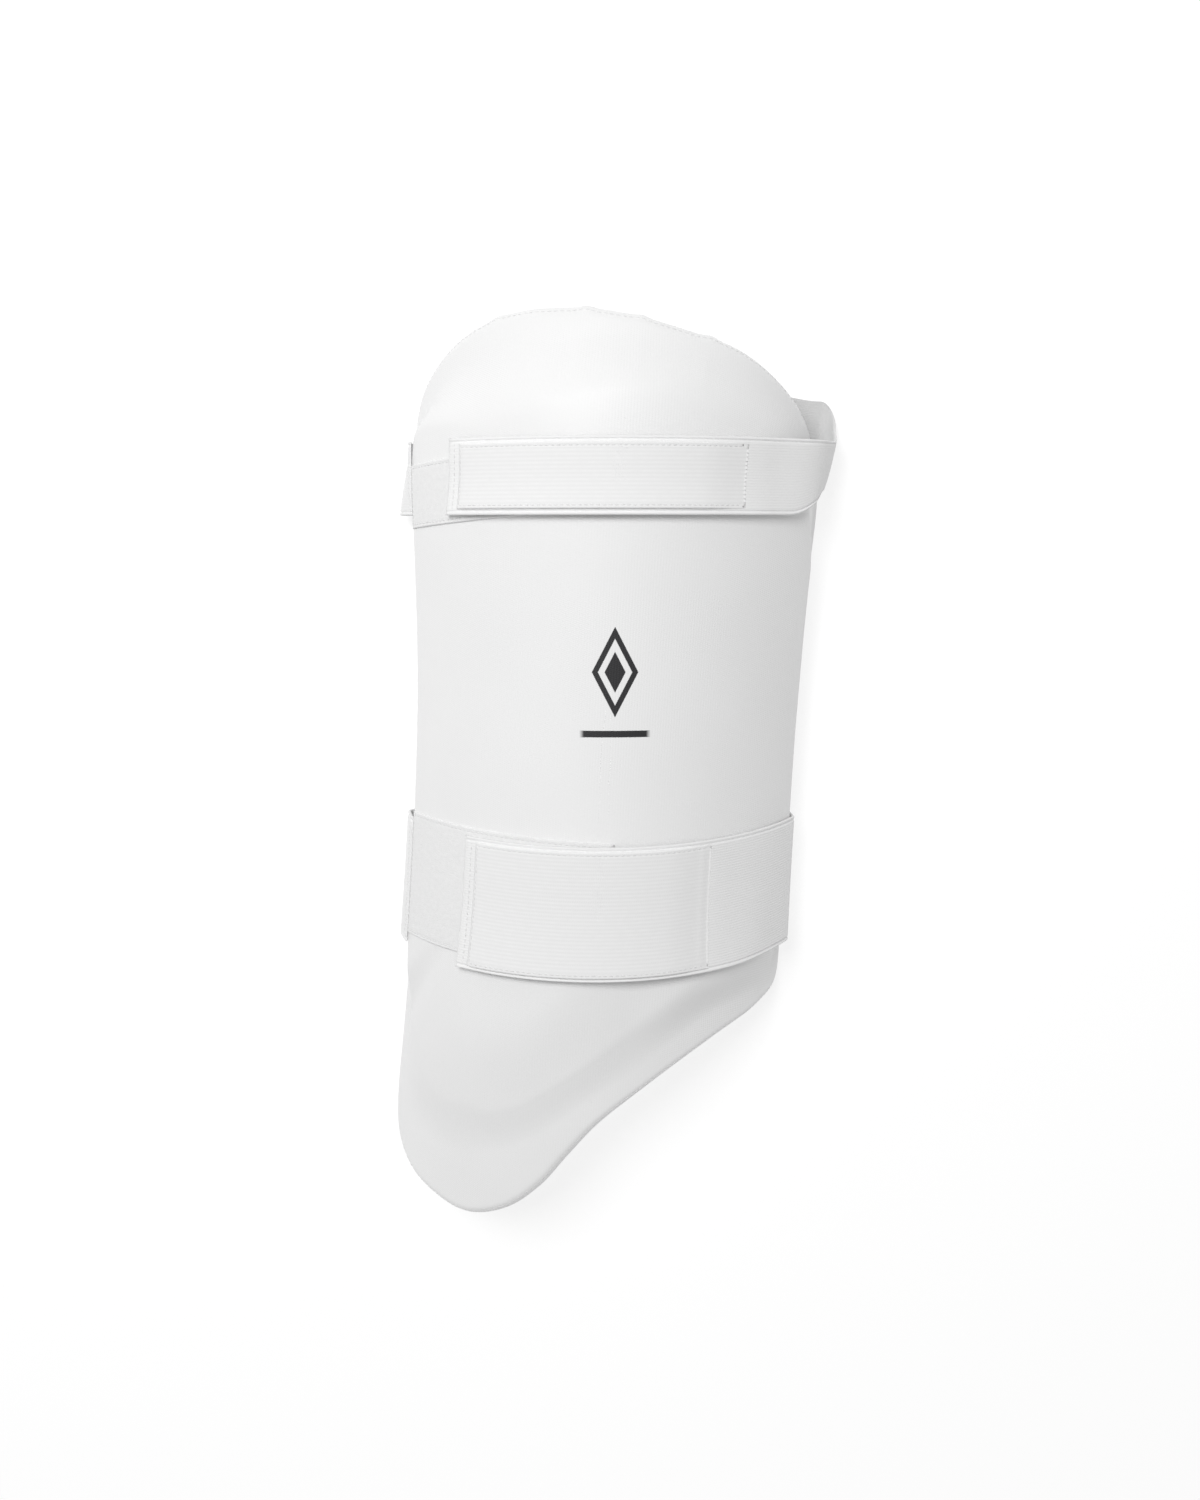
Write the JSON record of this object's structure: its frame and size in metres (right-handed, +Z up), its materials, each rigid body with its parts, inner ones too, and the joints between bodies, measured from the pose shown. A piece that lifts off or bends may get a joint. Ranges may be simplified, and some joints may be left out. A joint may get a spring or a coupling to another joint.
{
  "type": "cricket thigh guard",
  "caption": "Moulded foam thigh guard with a raised front and a long pointed side, closed by two wrap-round elastic straps.",
  "frame": {"origin": "on the ground, under the middle of the guard's box, with the guard lying on its back", "axes": "+Z up, away from the thigh; +Y along the thigh towards the hip end; +X to the right seen from the front"},
  "size_m": [0.2146, 0.425, 0.0817],
  "materials": {
    "pad_cover": "fine matt white knit moulded over foam",
    "strap_band": "soft brushed white elastic",
    "strap_elastic": "white elastic with fine ribs along it",
    "loop_tape": "white napped loop tape"
  },
  "bodies": {
    "root": {"pad": "pad_cover", "upper_loop_tape": "loop_tape", "upper_strap_band": "strap_band", "upper_strap_elastic": "strap_elastic", "lower_loop_tape": "loop_tape", "lower_strap_band": "strap_band", "lower_strap_elastic": "strap_elastic"}
  },
  "joints": []
}
